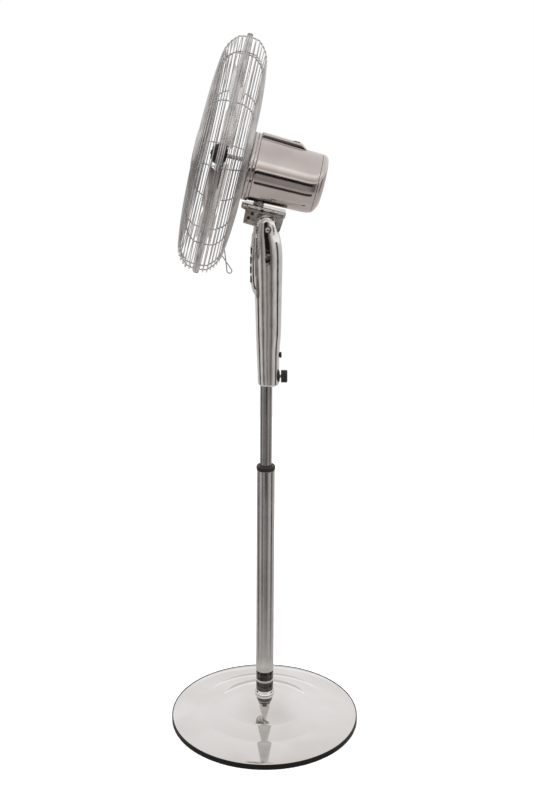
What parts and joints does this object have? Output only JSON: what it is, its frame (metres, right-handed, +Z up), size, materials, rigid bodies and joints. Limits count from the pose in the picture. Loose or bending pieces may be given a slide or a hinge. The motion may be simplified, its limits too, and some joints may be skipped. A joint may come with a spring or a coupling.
{
  "type": "pedestal fan",
  "caption": "Pedestal fan with a round weighted base, telescopic pole, switch column, and a tilting, oscillating head in a wire guard.",
  "frame": {"origin": "on the floor under the pole's centre", "axes": "+Z up the pole; the fan blows towards -Y; +X is the fan's left side seen from the front"},
  "size_m": [0.443, 0.36, 1.3139],
  "materials": {
    "chrome_plate": "bright polished chrome plate",
    "satin_tube": "satin nickel plated steel tube",
    "satin_housing": "bright, slightly warm plated shell",
    "guard_wire": "plated steel wire",
    "blade_metal": "satin pressed aluminium",
    "black_plastic": "black moulded plastic",
    "key_plastic": "dark moulded keys",
    "steel": "plain steel",
    "cast_iron": "rough casting",
    "copper_wire": "enamelled copper winding",
    "bronze": "sintered bronze",
    "nylon": "natural nylon"
  },
  "bodies": {
    "base": {"base_cover": "chrome_plate", "base_edge_ring": "black_plastic", "base_weight": "cast_iron", "base_bolt": "steel", "pole_socket": "chrome_plate", "outer_tube": "satin_tube", "tube_bush": "nylon"},
    "collar": {"height_collar": "black_plastic"},
    "column": {"inner_tube": "satin_tube", "column_body": "chrome_plate", "control_panel": "chrome_plate", "switch_block": "black_plastic", "knob_seat": "black_plastic", "cord_gland": "black_plastic", "tilt_bolt": "steel", "tilt_nut": "steel"},
    "clamp": {"clamp_knob": "black_plastic"},
    "key_off": {"key_off": "key_plastic"},
    "key_low": {"key_low": "key_plastic"},
    "key_medium": {"key_medium": "key_plastic"},
    "key_high": {"key_high": "key_plastic"},
    "neck": {"neck_bracket": "chrome_plate", "neck_plate": "chrome_plate", "pivot_post": "steel"},
    "head": {"front_ring": "chrome_plate", "motor_housing": "satin_housing", "rear_cover": "satin_housing", "rear_screw": "steel", "pivot_boss": "black_plastic", "stator_core": "steel", "front_winding": "copper_wire", "rear_winding": "copper_wire", "front_bracket": "steel", "rear_bracket": "steel", "front_bearing": "bronze", "rear_bearing": "bronze", "capacitor": "black_plastic", "gearbox_case": "cast_iron", "front_guard": "guard_wire", "rear_guard": "guard_wire", "guard_plate": "steel", "guard_nut": "black_plastic", "front_badge": "chrome_plate", "rear_loop": "guard_wire"},
    "fan": {"motor_shaft": "steel", "rotor_core": "steel", "hub_plate": "black_plastic", "spinner": "black_plastic", "blade_1": "blade_metal", "blade_2": "blade_metal", "blade_3": "blade_metal", "blade_4": "blade_metal"},
    "worm_wheel": {"worm_wheel": "nylon"},
    "crank": {"crank_gear": "nylon"},
    "link": {"crank_link": "steel"},
    "clutch": {"oscillation_knob": "black_plastic"},
    "clip_top": {"guard_clip_1": "guard_wire"},
    "clip_right": {"guard_clip_2": "guard_wire"},
    "clip_bottom": {"guard_clip_3": "guard_wire"},
    "clip_left": {"guard_clip_4": "guard_wire"}
  },
  "joints": [
    {"name": "height_slide", "type": "slide", "parent": "base", "child": "column", "axis": [0, 0, 1], "range_m": [-0.145, 0.115]},
    {"name": "collar_turn", "type": "hinge", "parent": "base", "child": "collar", "pos_m": [0, 0, 0.509], "axis": [0, 0, 1], "range_deg": [0, 120]},
    {"name": "clamp_turn", "type": "hinge", "parent": "column", "child": "clamp", "pos_m": [0, 0.033, 0.686], "axis": [0, 1, 0], "range_deg": [-180, 180]},
    {"name": "head_tilt", "type": "hinge", "parent": "column", "child": "neck", "pos_m": [0, 0.001, 0.965], "axis": [-1, 0, 0], "range_deg": [-16, 12]},
    {"name": "oscillation", "type": "hinge", "parent": "neck", "child": "head", "pos_m": [0, -0.01614, 1.00632], "axis": [0, 0.225, 0.9744], "range_deg": [-40, 40]},
    {"name": "fan_spin", "type": "hinge", "parent": "head", "child": "fan", "pos_m": [0, -0.08076, 1.09718], "axis": [0, -0.9744, 0.225], "continuous": true},
    {"name": "worm_wheel_turn", "type": "hinge", "parent": "head", "child": "worm_wheel", "pos_m": [0.014, 0.04737, 1.0676], "axis": [0, 0.225, 0.9744], "continuous": true},
    {"name": "crank_turn", "type": "hinge", "parent": "head", "child": "crank", "pos_m": [-0.0114, 0.03646, 1.02034], "axis": [0, 0.225, 0.9744], "continuous": true},
    {"name": "link_turn", "type": "hinge", "parent": "crank", "child": "link", "pos_m": [-0.0024, 0.03567, 1.01693], "axis": [0, 0.225, 0.9744], "continuous": true},
    {"name": "clutch_pull", "type": "slide", "parent": "head", "child": "clutch", "axis": [0, 0.225, 0.9744], "range_m": [0, 0.006]},
    {"name": "key_off_press", "type": "slide", "parent": "column", "child": "key_off", "axis": [0, 1, 0], "range_m": [0, 0.0025], "stiffness_N_per_m": 400, "springref_m": -0.001},
    {"name": "key_low_press", "type": "slide", "parent": "column", "child": "key_low", "axis": [0, 1, 0], "range_m": [0, 0.0025], "stiffness_N_per_m": 400, "springref_m": -0.001},
    {"name": "key_medium_press", "type": "slide", "parent": "column", "child": "key_medium", "axis": [0, 1, 0], "range_m": [0, 0.0025], "stiffness_N_per_m": 400, "springref_m": -0.001},
    {"name": "key_high_press", "type": "slide", "parent": "column", "child": "key_high", "axis": [0, 1, 0], "range_m": [0, 0.0025], "stiffness_N_per_m": 400, "springref_m": -0.001},
    {"name": "clip_top_open", "type": "hinge", "parent": "head", "child": "clip_top", "pos_m": [0, -0.02839, 1.308], "axis": [-1, 0, 0], "range_deg": [0, 90]},
    {"name": "clip_right_open", "type": "hinge", "parent": "head", "child": "clip_right", "pos_m": [0.2172, -0.07725, 1.09637], "axis": [0, 0.225, 0.9744], "range_deg": [0, 90]},
    {"name": "clip_bottom_open", "type": "hinge", "parent": "head", "child": "clip_bottom", "pos_m": [0, -0.12611, 0.88474], "axis": [1, 0, 0], "range_deg": [0, 90]},
    {"name": "clip_left_open", "type": "hinge", "parent": "head", "child": "clip_left", "pos_m": [-0.2172, -0.07725, 1.09637], "axis": [0, -0.225, -0.9744], "range_deg": [0, 90]}
  ],
  "couplings": [
    {"joint": "worm_wheel_turn", "follows": "fan_spin", "ratio": 0.05},
    {"joint": "crank_turn", "follows": "fan_spin", "ratio": -0.010976},
    {"joint": "link_turn", "follows": "fan_spin", "ratio": 0.010976}
  ]
}
